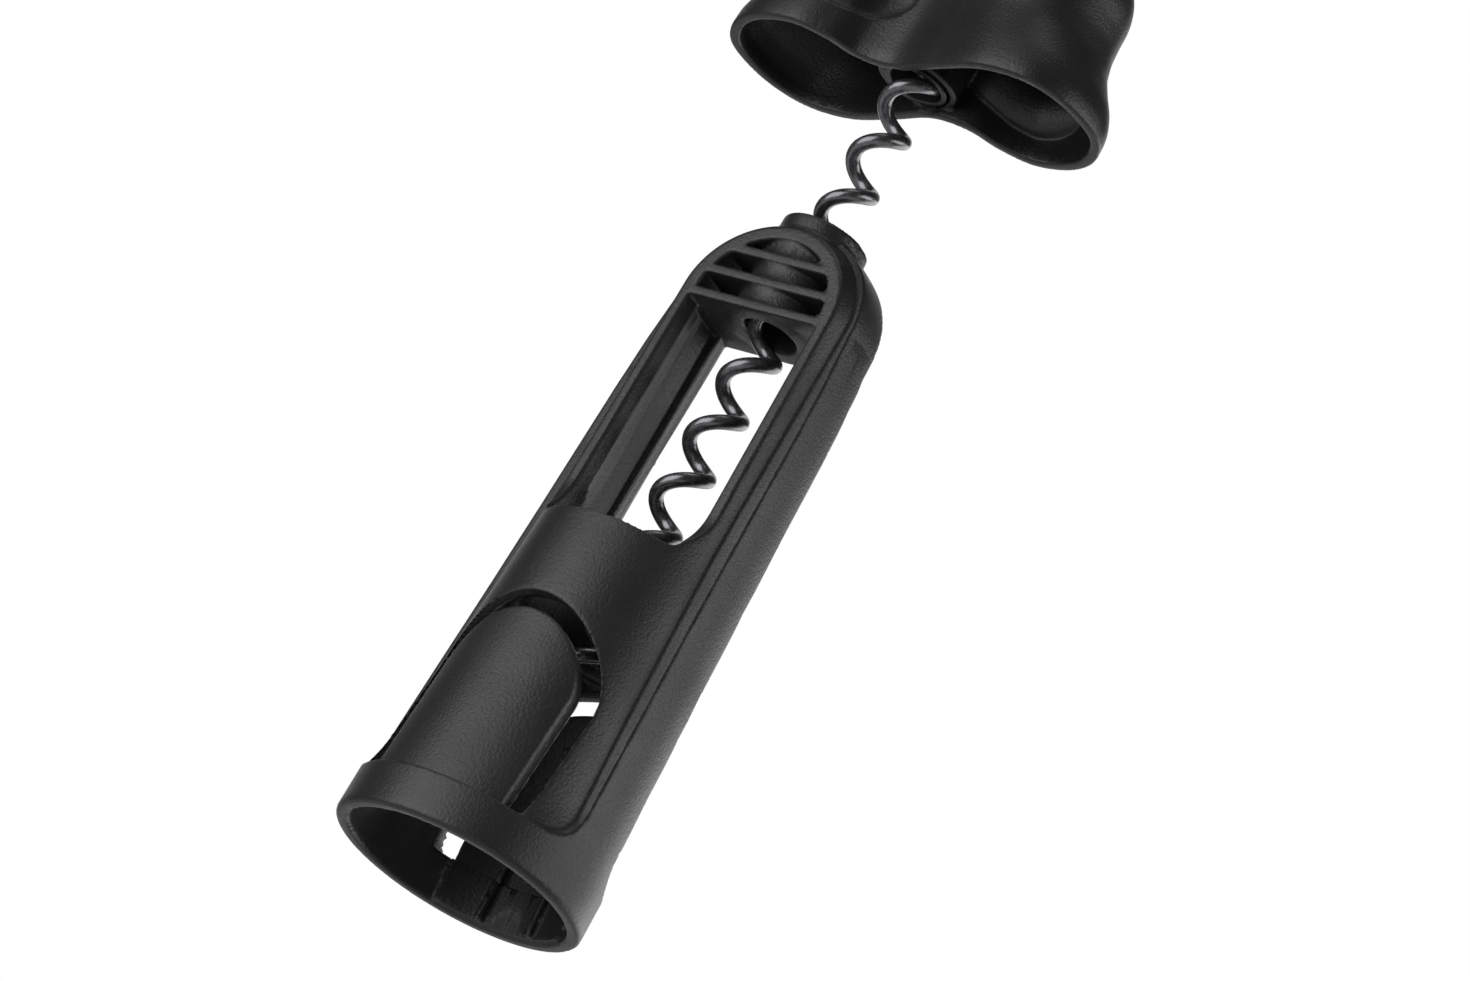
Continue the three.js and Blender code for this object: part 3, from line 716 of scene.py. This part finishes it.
def true_distance(skin, x, y, h, delta=0.15):
    """A skin's value over the length of its slope: a true distance near the skin."""
    slopes = [skin(x + delta, y, h) - skin(x - delta, y, h),
              skin(x, y + delta, h) - skin(x, y - delta, h),
              skin(x, y, h + delta) - skin(x, y, h - delta)]
    steepness = np.sqrt(sum(slope ** 2 for slope in slopes)) / (2 * delta)
    return skin(x, y, h) / np.clip(steepness, 1, 3)


def handle_field(x, y, z):
    """The shell and its hub; the soft join between them may not swell the outside."""
    h = z - HANDLE_Z
    rho = np.hypot(x, y)
    closed = true_distance(handle_skin, x, y, h)
    inside = true_distance(inner_skin, x, y, h)
    wall = soft_max(closed, -(inside + HANDLE_WALL), 0.1)
    wall = soft_max(wall, -h, 0.35)
    boss = soft_max(np.maximum(rho - BOSS_R, closed), BOSS_BOTTOM - h, 0.4)
    body = np.maximum(soft_min(wall, boss, 0.8), closed)
    return soft_max(body, -np.maximum(rho - BOSS_BORE_R, h - BOSS_BORE_TOP), 0.35)


shell = moulded("handle_moulding", handle_field, [-36, -16, HANDLE_Z - 1.0],
                [36, 16, HANDLE_Z + HANDLE_HEIGHT + 1.0], 0.4,
                mirror_x=False, mirror_y=False)
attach(shell, "handle")
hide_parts("handle_shell")
print("handle box:", np.round(np.array(shell.dimensions) / MM, 2))

# %% [markdown]
# ## The slip ring
#
# A plain bearing ring fills the foot of the hub round the worm. A cylinder with a bevel
# would do, but it is a turned part, so a profile with rounded corners is swung round the
# axis, which gives its corners their exact radius.

# %% slip ring
RING_DROP = 1.0
RING_WALL = 1.0
ring_low, ring_high = node_box("slip_ring")


def rounded_profile(inner, outer, low, high, edge, steps=4):
    """Corner-rounded rectangle as [radius, height] points."""
    points = []
    for r, z, first in (
            (inner + edge, low + edge, 180), (outer - edge, low + edge, 270),
            (outer - edge, high - edge, 0), (inner + edge, high - edge, 90)):
        for step in range(steps + 1):
            angle = math.radians(first + 90 * step / steps)
            points.append([r + edge * math.cos(angle), z + edge * math.sin(angle)])
    return np.array(points)


def turned(name, profile, facets=96):
    """A closed profile swung round the axis."""
    angles = np.arange(facets) / facets * 2 * math.pi
    count = len(profile)
    points = np.stack([
        np.outer(np.cos(angles), profile[:, 0]), np.outer(np.sin(angles), profile[:, 0]),
        np.tile(profile[:, 1], (facets, 1))], -1).reshape(-1, 3)
    faces = []
    for i in range(facets):
        for k in range(count):
            a, b = i * count + k, i * count + (k + 1) % count
            c, d = (a + count) % len(points), (b + count) % len(points)
            faces.append([a, c, d, b])
    return mesh_object(name, points, faces)


ring = turned("hub_slip_ring", rounded_profile(
    ring_high[0] - RING_WALL, ring_high[0],
    ring_low[2] - RING_DROP, ring_high[2] - RING_DROP, 0.2))
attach(ring, "lift_ring")
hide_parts("slip_ring")
print("slip ring:", np.round(np.array(ring.dimensions) / MM, 2))

# %% [markdown]
# ## The worm
#
# The worm is one wire wound round an open core: no rod runs up its middle, so the cork
# is not torn. A screw modifier would make the coil but not its ends, so the wire's
# centre line is written out. Inside the hub the wire swings in to the axis as a
# straight shank.

# %% the worm's centre line
WIRE_R = 1.2
COIL_R = 4.23 - WIRE_R
PITCH = 10.98
TIP_Z = 33.0
PHASE, PHASE_Z = math.radians(36.3), 141.32
COIL_END = ring_high[2] + 1


def wire_centre(z):
    """The middle of the wire by height: a helix, then the shank."""
    angle = PHASE + (z - PHASE_Z) / PITCH * 2 * math.pi
    inward = np.clip((z - COIL_END) / (PITCH / 2), 0, 1)
    radius = COIL_R * (1 - inward ** 2 * (3 - 2 * inward))
    return np.stack([radius * np.cos(angle), radius * np.sin(angle), z], -1)


print(f"the worm has {(COIL_END - TIP_Z) / PITCH:.1f} turns")

# %% [markdown]
# A ring of points is carried along the line, square to it. The rings narrow towards the
# tip like a blade of grass: slowly at first and then to a point.

# %% worm
TAPER = 0.6 * PITCH


def swept_wire(name, heights, radii, sides=20):
    """A round wire along wire_centre, closed at both ends."""
    centre = wire_centre(heights)
    along = wire_centre(heights + 0.01) - wire_centre(heights - 0.01)
    along /= np.linalg.norm(along, axis=1, keepdims=True)
    side = np.array([0.0, 0.0, 1.0])
    rings = []
    for middle, direction, radius in zip(centre, along, radii):
        side = side - direction * side.dot(direction)
        side /= np.linalg.norm(side)
        across = np.cross(direction, side)
        angles = np.arange(sides) / sides * 2 * math.pi
        rings.append(middle + radius * (
            np.outer(np.cos(angles), side) + np.outer(np.sin(angles), across)))
    points = np.concatenate(rings + [centre[:1], centre[-1:]])
    faces = []
    for k in range(len(rings) - 1):
        for i in range(sides):
            a, b = k * sides + i, k * sides + (i + 1) % sides
            faces.append([a, b, b + sides, a + sides])
    first, last = len(points) - 2, len(points) - 1
    top = (len(rings) - 1) * sides
    for i in range(sides):
        faces.append([first, (i + 1) % sides, i])
        faces.append([last, top + i, top + (i + 1) % sides])
    return mesh_object(name, points, faces)


worm_top = node_box("worm")[1][2]
worm_heights = np.arange(TIP_Z, worm_top, PITCH / 60)
worm_radii = WIRE_R * np.clip(np.sqrt((worm_heights - TIP_Z) / TAPER), 0.1, 1)
worm = swept_wire("worm_wire", worm_heights, worm_radii)
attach(worm, "handle")
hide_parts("worm")
print("worm box:", np.round(np.array(worm.dimensions) / MM, 2))

# %% [markdown]
# ## Finishes
#
# A colour is written as it looks on a screen and turned into the linear values of a
# shader by one function. The scale of a pattern comes from its real size: a texture with
# features of so many millimetres repeats that often in a metre. One small function adds
# a node with its settings and links.

# %% helpers for finishes
def linear(screen_hex):
    """Linear red, green, blue and alpha of a screen colour such as #202021."""
    shares = [int(screen_hex[i:i + 2], 16) / 255 for i in (1, 3, 5)]
    return tuple(v / 12.92 if v <= 0.04045 else ((v + 0.055) / 1.055) ** 2.4
                 for v in shares) + (1.0,)


def per_metre(size_mm):
    """The texture scale that gives features of this size."""
    return 1000.0 / size_mm


def add_node(tree, kind, links=None, **settings):
    """Adds one node with its settings; a link is a socket, or else a plain value."""
    node = tree.nodes.new(kind)
    for key, value in settings.items():
        setattr(node, key, value)
    for socket, source in (links or {}).items():
        if isinstance(source, bpy.types.NodeSocket):
            tree.links.new(source, node.inputs[socket])
        else:
            node.inputs[socket].default_value = source
    return node


def new_finish(name):
    """A material with its shader, and the place on the piece in metres."""
    material = bpy.data.materials.new(name)
    material.use_nodes = True
    tree = material.node_tree
    place = add_node(tree, "ShaderNodeTexCoord").outputs["Object"]
    return material, tree, tree.nodes["Principled BSDF"], place


print("mid grey #808080 is", round(linear("#808080")[0], 3), "in linear light")

# %% [markdown]
# ### Satin black plastic
#
# The mouldings are black ABS out of a spark-eroded tool. Its skin is covered with fine
# pits that break up every reflection into a soft, slightly grainy sheen: the eye reads
# that as a dry, grippy plastic. Real pits are about 0.1 mm wide, which is too fine to
# show at this distance, so they are drawn 0.45 mm wide. Hands rub the edges smoother,
# and the edges are also painted a little paler, partly as wear and partly as a painted
# highlight along each edge. Black plastic always carries a few specks of dust. The pits
# could be an image, but noise has no seams and no end.

# %% satin black plastic
PIT_MM = 0.45
HANDLED_MM = 16
DUST_MM = 11
ABS_IOR = 1.53


def satin_plastic(name, colour, edge_wear_and_highlight_colour, roughness, pit_depth_mm):
    """Moulded plastic with fine pits, some dust, and edges painted paler as wear and
    painted highlight.
    """
    material, tree, shader, place = new_finish(name)
    pits = add_node(tree, "ShaderNodeTexNoise", {
        "Vector": place, "Scale": per_metre(PIT_MM), "Detail": 1.0, "Roughness": 0.5})
    handled = add_node(tree, "ShaderNodeTexNoise", {
        "Vector": place, "Scale": per_metre(HANDLED_MM), "Detail": 3.0,
        "Roughness": 0.55})
    shape = add_node(tree, "ShaderNodeNewGeometry")
    # convex edges from pointiness: smoother, and painted paler, partly as wear and partly
    # as a painted highlight
    edge_wear_and_painted_highlight = add_node(tree, "ShaderNodeMapRange", {
        "Value": shape.outputs["Pointiness"], "From Min": 0.53, "From Max": 0.62,
        "To Min": 0.0, "To Max": 0.6}, interpolation_type="SMOOTHSTEP")
    speck_cells = add_node(tree, "ShaderNodeTexVoronoi", {
        "Vector": place, "Scale": per_metre(DUST_MM)})
    dust = add_node(tree, "ShaderNodeMapRange", {
        "Value": speck_cells.outputs["Distance"], "From Min": 0.02, "From Max": 0.014,
        "To Min": 0.0, "To Max": 1.0})
    # base colour painted paler along convex edges: partly wear, partly a painted edge
    # highlight
    skin_colour = add_node(tree, "ShaderNodeMix", {
        0: edge_wear_and_painted_highlight.outputs[0], 6: linear(colour), 7: linear(edge_wear_and_highlight_colour)},
        data_type="RGBA")
    dusted = add_node(tree, "ShaderNodeMix", {
        0: dust.outputs[0], 6: skin_colour.outputs[2], 7: linear("#777572")},
        data_type="RGBA")
    tree.links.new(dusted.outputs[2], shader.inputs["Base Color"])
    dry = add_node(tree, "ShaderNodeMapRange", {
        "Value": handled.outputs[0], "From Min": 0.3, "From Max": 0.7,
        "To Min": roughness - 0.04, "To Max": roughness + 0.05})
    grainy = add_node(tree, "ShaderNodeMath", {
        0: pits.outputs[0], 1: 0.12, 2: dry.outputs[0]}, operation="MULTIPLY_ADD")
    polished = add_node(tree, "ShaderNodeMath", {
        0: edge_wear_and_painted_highlight.outputs[0], 1: -0.15, 2: grainy.outputs[0]}, operation="MULTIPLY_ADD")
    tree.links.new(polished.outputs[0], shader.inputs["Roughness"])
    bump = add_node(tree, "ShaderNodeBump", {
        "Height": pits.outputs[0], "Strength": 1.0, "Distance": pit_depth_mm * MM})
    tree.links.new(bump.outputs[0], shader.inputs["Normal"])
    shader.inputs["IOR"].default_value = ABS_IOR
    return material


# the second colour of each plastic is its paler edge colour: partly wear, partly a painted
# highlight
frame_finish = satin_plastic("satin_black_abs", "#1f1f21", "#39393c", 0.38, 0.07)
handle_finish = satin_plastic("satin_handle_abs", "#171718", "#333335", 0.36, 0.06)
print("plastics:", frame_finish.name, "and", handle_finish.name)

# %% [markdown]
# ### Coated wire
#
# The worm is steel wire with a thin dark non-stick coating that carries metal pigment.
# It mirrors the studio in broad soft streaks. The coating is dipped, so its gloss varies
# from place to place, and it has a slight orange peel about a millimetre across. A clear
# coat over bare steel would look brighter, so the pigment's own dark metal is used.

# %% coated wire
PEEL_MM, PEEL_DEPTH_MM = 0.9, 0.02
wire_finish, tree, shader, place = new_finish("coated_steel_wire")
peel = add_node(tree, "ShaderNodeTexNoise", {
    "Vector": place, "Scale": per_metre(PEEL_MM), "Detail": 3.0, "Roughness": 0.6})
gloss = add_node(tree, "ShaderNodeMapRange", {
    "Value": peel.outputs[0], "From Min": 0.3, "From Max": 0.7,
    "To Min": 0.2, "To Max": 0.34})
tree.links.new(gloss.outputs[0], shader.inputs["Roughness"])
pigment = add_node(tree, "ShaderNodeMix", {
    0: peel.outputs[0], 6: linear("#525255"), 7: linear("#8a8a8d")}, data_type="RGBA")
tree.links.new(pigment.outputs[2], shader.inputs["Base Color"])
ripple = add_node(tree, "ShaderNodeBump", {
    "Height": peel.outputs[0], "Strength": 1.0, "Distance": PEEL_DEPTH_MM * MM})
tree.links.new(ripple.outputs[0], shader.inputs["Normal"])
shader.inputs["Metallic"].default_value = 0.85
print("coating:", wire_finish.name, "with", len(tree.nodes), "nodes")

# %% [markdown]
# ### Bearing plastic
#
# The slip ring is smooth black acetal, a slippery plastic that looks slightly waxy. Its
# face shows faint rings where it rubs on the collar, and they catch the light as soft
# circles. The rings vary its roughness and bumps, and are also painted a shade paler in
# its colour, partly as rub marks and partly as painted reflection rings. A wave texture
# turned round the axis draws them: its waves are 2 pi times 0.45 mm apart, which is
# about 2.8 mm.

# %% bearing plastic
WAVE_MM, GROOVE_DEPTH_MM = 0.45, 0.004
WAVES_IN_UNIT = 20
ACETAL_IOR = 1.48
ring_finish, tree, shader, place = new_finish("bearing_acetal")
rings = add_node(tree, "ShaderNodeTexWave", {
    "Vector": place, "Scale": per_metre(WAVE_MM) / WAVES_IN_UNIT, "Distortion": 0.6,
    "Detail": 2.0}, wave_type="RINGS", rings_direction="Z")
rub = add_node(tree, "ShaderNodeMapRange", {
    "Value": rings.outputs["Fac"], "To Min": 0.26, "To Max": 0.38})
tree.links.new(rub.outputs[0], shader.inputs["Roughness"])
# ring colour alternates paler and darker: partly rub marks, partly painted reflection
# rings
rub_marks_and_painted_reflection = add_node(tree, "ShaderNodeMix", {
    0: rings.outputs["Fac"], 6: linear("#19191b"), 7: linear("#232326")},
    data_type="RGBA")
tree.links.new(rub_marks_and_painted_reflection.outputs[2], shader.inputs["Base Color"])
groove = add_node(tree, "ShaderNodeBump", {
    "Height": rings.outputs["Fac"], "Strength": 1.0, "Distance": GROOVE_DEPTH_MM * MM})
tree.links.new(groove.outputs[0], shader.inputs["Normal"])
shader.inputs["IOR"].default_value = ACETAL_IOR
print("bearing:", ring_finish.name, "with", len(tree.nodes), "nodes")

# %% [markdown]
# ### Cast zinc
#
# The anchor inside the hub is a bare zinc casting: pale grey, with a crystalline mottle
# of about 1.5 mm and a slightly rough skin, which the eye reads as raw cast metal. It is
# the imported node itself, as it is out of sight, but it is finished like the rest.

# %% cast zinc
CRYSTAL_MM, CAST_DEPTH_MM = 1.5, 0.03
zinc_finish, tree, shader, place = new_finish("cast_zinc")
crystals = add_node(tree, "ShaderNodeTexNoise", {
    "Vector": place, "Scale": per_metre(CRYSTAL_MM), "Detail": 4.0, "Roughness": 0.65})
mottle = add_node(tree, "ShaderNodeMix", {
    0: crystals.outputs[0], 6: linear("#a3a4a8"), 7: linear("#c6c7ca")},
    data_type="RGBA")
tree.links.new(mottle.outputs[2], shader.inputs["Base Color"])
cast_skin = add_node(tree, "ShaderNodeMapRange", {
    "Value": crystals.outputs[0], "To Min": 0.35, "To Max": 0.6})
tree.links.new(cast_skin.outputs[0], shader.inputs["Roughness"])
cast_bump = add_node(tree, "ShaderNodeBump", {
    "Height": crystals.outputs[0], "Strength": 1.0, "Distance": CAST_DEPTH_MM * MM})
tree.links.new(cast_bump.outputs[0], shader.inputs["Normal"])
shader.inputs["Metallic"].default_value = 1.0
print("casting:", zinc_finish.name, "with", len(tree.nodes), "nodes")

# %% [markdown]
# Each piece is given its finish by name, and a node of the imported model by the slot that
# its record names.

# %% put the finishes on
def wear(piece_or_node, material):
    """Gives a piece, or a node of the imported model, its material."""
    if piece_or_node.material_slots:
        for slot_ in piece_or_node.material_slots:
            slot_.material = material
    else:
        piece_or_node.data.materials.append(material)


finishes = {
    "satin_black_plastic": frame_finish, "handle_plastic": handle_finish,
    "slip_plastic": ring_finish, "coated_wire": wire_finish, "anchor_metal": zinc_finish}
node_slots = {row["node"]: row["material_slot"] for row in frame["record"]["subparts"]}
pieces = {
    "frame_moulding": frame_finish, "front_tongue_moulding": frame_finish,
    "back_tongue_moulding": frame_finish, "handle_moulding": handle_finish,
    "hub_slip_ring": ring_finish, "worm_wire": wire_finish}
for each in bpy.data.objects:
    if each.name in pieces:
        wear(each, pieces[each.name])
    elif each.name in node_slots:
        wear(each, finishes[node_slots[each.name]])
print("finishes:", ", ".join(sorted({finish.name for finish in finishes.values()})))

# %% [markdown]
# ## The camera
#
# The camera looks up at the corkscrew from the front right, from a metre away with a
# long lens, which keeps the frame's sides nearly parallel. It is rolled by 30 degrees,
# so that the corkscrew lies across the picture and its mouth can be looked into.

# %% camera
VIEW_DISTANCE = 1.0
camera = bpy.data.objects.new("camera", bpy.data.cameras.new("camera"))
scene.collection.objects.link(camera)
scene.camera = camera
stand_point = Vector((0, 0, 60)) * MM
azimuth, elevation, roll = (math.radians(a) for a in (36.31, -19.53, 29.939))
back = Vector((math.sin(azimuth) * math.cos(elevation),
               -math.cos(azimuth) * math.cos(elevation), math.sin(elevation)))
camera.location = stand_point + back * VIEW_DISTANCE
aim = Vector((8.910, 0.067, 74.298)) * MM
forward = (aim - camera.location).normalized()
right = forward.cross(Vector((0, 0, 1))).normalized()
up = right.cross(forward)
level = Matrix((right, up, -forward)).transposed()
camera.rotation_euler = (level @ Matrix.Rotation(roll, 3, "Z")).to_euler()
camera.data.lens = 159.2
camera.data.sensor_width = 36.0
camera.data.clip_end = 20
print("camera at", np.round(np.array(camera.location), 3), "m")

# %% [markdown]
# ## The studio
#
# Black plastic shows little colour of its own: it is drawn by what it mirrors. So the
# studio has large soft boxes with dark gaps between them, round a dim room. The backdrop
# is white for the camera, and gloss mirrors the part of it that stands behind the
# corkscrew. The pale table sends a little light up from below.

# %% world
ROOM_LEVEL = 0.06
BACKDROP_LEVEL = 1.0
BACKDROP_TOWARDS = (-0.54, 0.8, 0.26)
TABLE_LEVEL = 0.5
WHITE = 1.0
world = bpy.data.worlds.new("studio")
scene.world = world
world.use_nodes = True
sky = world.node_tree
sky.nodes.clear()
path = add_node(sky, "ShaderNodeLightPath")
direction = add_node(sky, "ShaderNodeTexCoord")
height = add_node(sky, "ShaderNodeSeparateXYZ", {"Vector": direction.outputs["Generated"]})
behind = add_node(sky, "ShaderNodeVectorMath", {
    0: direction.outputs["Generated"], 1: BACKDROP_TOWARDS}, operation="DOT_PRODUCT")
backdrop = add_node(sky, "ShaderNodeMapRange", {
    "Value": behind.outputs["Value"], "From Min": 0.75, "From Max": 0.95,
    "To Min": ROOM_LEVEL, "To Max": BACKDROP_LEVEL}, interpolation_type="SMOOTHSTEP")
mirrored = add_node(sky, "ShaderNodeMath", {
    0: path.outputs["Is Glossy Ray"], 1: path.outputs["Is Transmission Ray"]},
    operation="MAXIMUM")
room = add_node(sky, "ShaderNodeMix", {
    "Factor": mirrored.outputs[0], "A": ROOM_LEVEL, "B": backdrop.outputs[0]},
    data_type="FLOAT")
below = add_node(sky, "ShaderNodeMapRange", {
    "Value": height.outputs["Z"], "From Min": -0.3, "From Max": -0.6,
    "To Min": 0.0, "To Max": TABLE_LEVEL}, interpolation_type="SMOOTHSTEP")
around = add_node(sky, "ShaderNodeMath", {
    0: room.outputs[0], 1: below.outputs[0]}, operation="MAXIMUM")
seen = add_node(sky, "ShaderNodeMix", {
    "Factor": path.outputs["Is Camera Ray"], "A": around.outputs[0], "B": WHITE},
    data_type="FLOAT")
light = add_node(sky, "ShaderNodeBackground", {
    "Color": (1, 1, 1, 1), "Strength": seen.outputs[0]})
add_node(sky, "ShaderNodeOutputWorld", {"Surface": light.outputs[0]})
scene.view_settings.view_transform = "Standard"
print("world:", world.name, "with", len(sky.nodes), "nodes")

# %% [markdown]
# The key stands in front, a little to the left, and lays a broad sheen down the front
# panel. A long side box on the right and a box behind it brighten the side strap towards
# its far edge, and the dark gap at the front right gives the dark line between the two.
# Small lamps would give hard sparks on satin plastic, so all boxes are large and near.

# %% soft boxes
def soft_box(name, azimuth, elevation, size, glow, distance=0.9, height=0.09):
    """An area light of so many metres that faces the corkscrew.

    Its azimuth runs from the front to the right, and its glow is the brightness that a
    mirror would show.
    """
    lamp = bpy.data.objects.new(name, bpy.data.lights.new(name, "AREA"))
    scene.collection.objects.link(lamp)
    lamp.data.shape = "RECTANGLE"
    lamp.data.size, lamp.data.size_y = size
    lamp.data.energy = glow * math.pi * size[0] * size[1]
    turn, rise = math.radians(azimuth), math.radians(elevation)
    out = Vector((math.sin(turn) * math.cos(rise), -math.cos(turn) * math.cos(rise),
                  math.sin(rise)))
    lamp.location = Vector((0, 0, height)) + out * distance
    lamp.rotation_euler = out.to_track_quat("Z", "Y").to_euler()
    return lamp


boxes = [soft_box("key", -21, 3, (0.95, 0.9), 2.6),
         soft_box("side", 105, 15, (0.85, 0.44), 2.7),
         soft_box("far_side", 165, -2, (0.75, 0.8), 1.9),
         soft_box("top", -10, 75, (0.5, 0.5), 1.2)]
print("soft boxes:", ", ".join(f"{box.name} {box.data.energy:.1f} W" for box in boxes))

# %% [markdown]
# ## The floor
#
# The corkscrew stands on a pale floor. The floor is seen only from above: from below it
# lets the eye and all light through, so that the mouth of the bell can be looked into.
# The dark gaps between the boxes would leave it grey, so it glows a little for the
# camera alone, on top of the light and shadow that fall on it.

# %% floor
FLOOR_LIFT = 0.5
FLOOR_HALF = 3
FLOOR_DROP = 0.0002
floor_mesh = bpy.data.meshes.new("floor")
floor_mesh.from_pydata([
    (-FLOOR_HALF, -FLOOR_HALF, 0), (FLOOR_HALF, -FLOOR_HALF, 0),
    (FLOOR_HALF, FLOOR_HALF, 0), (-FLOOR_HALF, FLOOR_HALF, 0)], [], [(0, 1, 2, 3)])
floor = bpy.data.objects.new("floor", floor_mesh)
floor.location.z = -FLOOR_DROP
scene.collection.objects.link(floor)
paper = bpy.data.materials.new("pale_floor_paper")
paper.use_nodes = True
paper_tree = paper.node_tree
paper_tree.nodes.clear()
ray = add_node(paper_tree, "ShaderNodeLightPath")
facing = add_node(paper_tree, "ShaderNodeNewGeometry")
above = add_node(paper_tree, "ShaderNodeMath", {
    0: 1.0, 1: facing.outputs["Backfacing"]}, operation="SUBTRACT")
shown = add_node(paper_tree, "ShaderNodeMath", {
    0: above.outputs[0], 1: ray.outputs["Is Camera Ray"]}, operation="MULTIPLY")
clear = add_node(paper_tree, "ShaderNodeBsdfTransparent")
matte = add_node(paper_tree, "ShaderNodeBsdfDiffuse", {"Color": (0.8, 0.8, 0.8, 1)})
lift = add_node(paper_tree, "ShaderNodeEmission", {"Strength": FLOOR_LIFT})
pale = add_node(paper_tree, "ShaderNodeAddShader", {
    0: matte.outputs[0], 1: lift.outputs[0]})
sheet = add_node(paper_tree, "ShaderNodeMixShader", {
    0: shown.outputs[0], 1: clear.outputs[0], 2: pale.outputs[0]})
add_node(paper_tree, "ShaderNodeOutputMaterial", {"Surface": sheet.outputs[0]})
floor_mesh.materials.append(paper)
print("floor:", paper.name, "with", len(paper_tree.nodes), "nodes")
